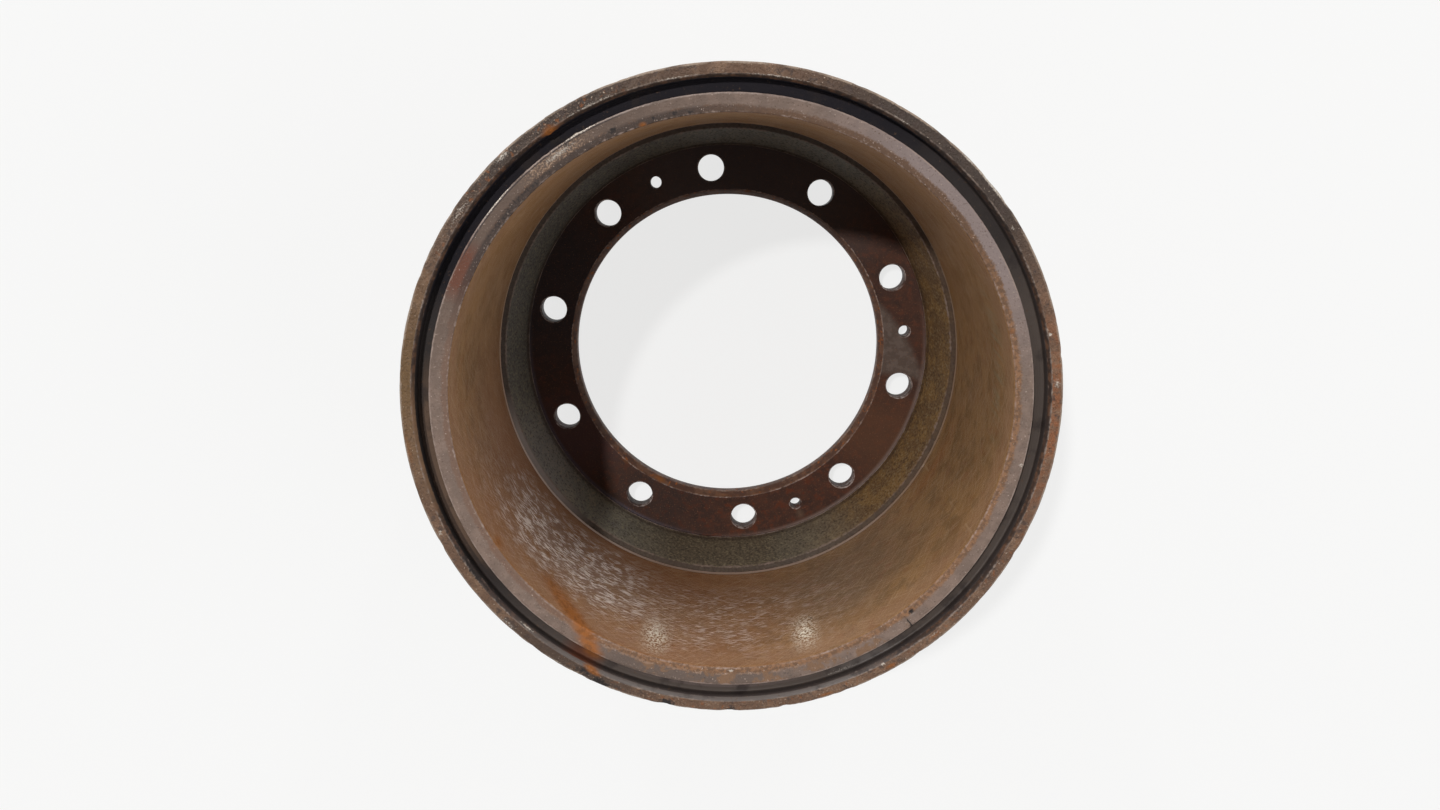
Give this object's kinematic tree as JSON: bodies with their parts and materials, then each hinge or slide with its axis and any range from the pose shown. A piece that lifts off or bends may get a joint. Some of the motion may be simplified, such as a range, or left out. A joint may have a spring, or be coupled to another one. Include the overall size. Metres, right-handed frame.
{
  "type": "brake drum",
  "caption": "Cast iron drum, open at one end, with a turned friction bore, a shield groove round its mouth and a bored, bolted flange at its closed end.",
  "frame": {"origin": "centre of the outer mounting face, on which the drum stands", "axes": "+Z along the drum's axis, from the mounting flange to the open mouth; +Y is up and +X right as seen looking into the mouth, with the first wheel bolt hole 5.4 degrees left of +Y"},
  "size_m": [0.4771, 0.4772, 0.2785],
  "materials": {
    "cast_iron": "turned grey iron under a thin film of brown rust"
  },
  "bodies": {
    "root": {"brake_drum": "cast_iron"}
  },
  "joints": []
}
